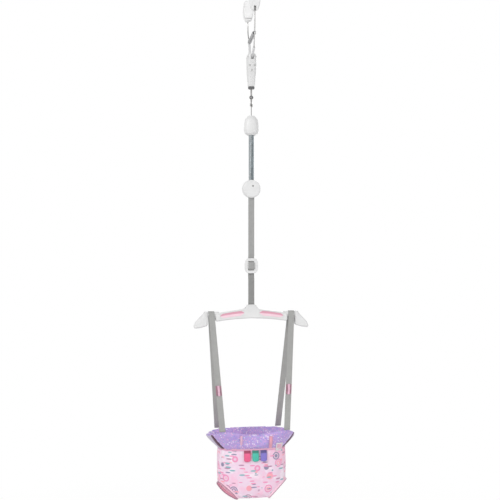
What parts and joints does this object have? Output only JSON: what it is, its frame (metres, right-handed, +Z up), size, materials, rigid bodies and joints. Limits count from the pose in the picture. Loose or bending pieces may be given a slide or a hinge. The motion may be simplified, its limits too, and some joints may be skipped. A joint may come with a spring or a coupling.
{
  "type": "baby doorway jumper",
  "caption": "Spring-hung baby seat with a door-frame clamp, a swivel hook, a height slide, a spreader bar and a padded fabric seat with leg openings.",
  "frame": {"origin": "halfway between the two clamp pads' faces, at the middle of the pads' height, which is where the wall over a doorway holds the part up", "axes": "+Z up, along the length of the hanging part; +Y from the front pad to the rear pad; +X to the right seen from the front"},
  "size_m": [0.3848, 0.1612, 1.6635],
  "materials": {
    "white_plastic": "semi-gloss moulded",
    "pink_plastic": "soft-touch",
    "grey_plastic": "satin moulded",
    "black_plastic": "satin moulded",
    "grey_rubber": "matte",
    "zinc": "zinc plated",
    "spring_steel": "bluish plated",
    "black_steel": "black oxide",
    "grey_webbing": "woven",
    "bag_fabric": "printed cotton",
    "band_fabric": "padded printed cotton",
    "binding_fabric": "bias binding",
    "pink_ribbon": "satin ribbon",
    "white_ribbon": "satin ribbon",
    "rose_ribbon": "satin ribbon",
    "teal_ribbon": "satin ribbon",
    "violet_ribbon": "satin ribbon"
  },
  "bodies": {
    "clamp": {"clamp_housing_front": "white_plastic", "clamp_housing_rear": "white_plastic", "clamp_housing_screw_1": "zinc", "clamp_housing_screw_2": "zinc", "clamp_housing_screw_3": "zinc", "front_pivot_pin": "zinc", "rear_pivot_pin": "zinc", "collar": "black_plastic"},
    "front_arm": {"front_arm": "zinc", "front_lever": "grey_plastic", "front_jaw_pin": "zinc", "clamp_spring": "black_steel"},
    "rear_arm": {"rear_arm": "zinc", "rear_lever": "grey_plastic", "rear_jaw_pin": "zinc"},
    "front_jaw": {"front_jaw": "white_plastic", "front_jaw_pad": "grey_rubber"},
    "rear_jaw": {"rear_jaw": "white_plastic", "rear_jaw_pad": "grey_rubber"},
    "swivel": {"swivel_shank": "zinc", "eye_bush": "black_plastic"},
    "hook": {"spring_hook": "zinc", "upper_cap_front": "white_plastic", "upper_cap_rear": "white_plastic", "main_spring": "spring_steel"},
    "lower_cap": {"lower_cap_front": "white_plastic", "lower_cap_rear": "white_plastic", "lower_cap_screw": "zinc", "strap_bar": "zinc", "upper_strap": "grey_webbing"},
    "slider": {"slider": "white_plastic"},
    "hanger": {"spreader_pin": "zinc", "strap_loop": "grey_webbing"},
    "spreader": {"spreader_front": "white_plastic", "spreader_rear": "white_plastic", "left_front_inlay": "pink_plastic", "right_front_inlay": "pink_plastic", "left_rear_inlay": "pink_plastic", "right_rear_inlay": "pink_plastic", "spreader_screw_left": "zinc", "spreader_screw_right": "zinc"},
    "seat": {"left_seat_strap": "grey_webbing", "right_seat_strap": "grey_webbing", "left_strap_toy_loop": "pink_ribbon", "right_strap_toy_loop": "pink_ribbon", "seat_bag": "bag_fabric", "left_leg_binding": "binding_fabric", "right_leg_binding": "binding_fabric", "seat_band_front": "band_fabric", "seat_band_rear": "band_fabric", "first_ribbon_tag": "rose_ribbon", "second_ribbon_tag": "teal_ribbon", "third_ribbon_tag": "violet_ribbon", "left_band_toy_loop": "pink_ribbon", "right_band_toy_loop": "pink_ribbon", "seat_label": "white_ribbon"}
  },
  "joints": [
    {"name": "front_arm_open", "type": "hinge", "parent": "clamp", "child": "front_arm", "pos_m": [0, -0.016, -0.176], "axis": [1, 0, 0], "range_deg": [0, 14], "stiffness_Nm_per_rad": 2.4, "springref_deg": -11.46, "deforming": ["clamp_spring"]},
    {"name": "rear_arm_open", "type": "hinge", "parent": "clamp", "child": "rear_arm", "pos_m": [0, 0.016, -0.176], "axis": [1, 0, 0], "range_deg": [-14, 0], "stiffness_Nm_per_rad": 2.4, "springref_deg": 11.46},
    {"name": "front_jaw_tilt", "type": "hinge", "parent": "front_arm", "child": "front_jaw", "pos_m": [0, -0.07354, -0.03], "axis": [1, 0, 0], "range_deg": [-12, 12]},
    {"name": "rear_jaw_tilt", "type": "hinge", "parent": "rear_arm", "child": "rear_jaw", "pos_m": [0, 0.07354, -0.03], "axis": [1, 0, 0], "range_deg": [-12, 12]},
    {"name": "swivel_turn", "type": "hinge", "parent": "clamp", "child": "swivel", "pos_m": [0, 0, -0.273], "axis": [0, 0, 1], "continuous": true},
    {"name": "hook_swing", "type": "hinge", "parent": "swivel", "child": "hook", "pos_m": [0, 0, -0.3085], "axis": [0, 1, 0], "range_deg": [-30, 30]},
    {"name": "bounce", "type": "slide", "parent": "hook", "child": "lower_cap", "axis": [0, 0, 1], "range_m": [-0.12, 0], "stiffness_N_per_m": 1200, "springref_m": 0.02, "deforming": ["main_spring"]},
    {"name": "height_adjust", "type": "slide", "parent": "lower_cap", "child": "slider", "axis": [0, 0, 1], "range_m": [-0.1, 0.14], "deforming": ["upper_strap"]},
    {"name": "strap_loop_travel", "type": "slide", "parent": "slider", "child": "hanger", "axis": [0, 0, 1], "range_m": [-0.07, 0.05], "deforming": ["strap_loop"]},
    {"name": "bar_pitch", "type": "hinge", "parent": "hanger", "child": "spreader", "pos_m": [0, 0, -1.0099], "axis": [1, 0, 0], "range_deg": [-15, 15]},
    {"name": "seat_swing", "type": "hinge", "parent": "spreader", "child": "seat", "pos_m": [0, 0, -1.02895], "axis": [1, 0, 0], "range_deg": [-25, 25]}
  ],
  "couplings": [
    {"joint": "rear_arm_open", "follows": "front_arm_open", "ratio": -1},
    {"joint": "strap_loop_travel", "follows": "height_adjust", "ratio": -0.5}
  ]
}
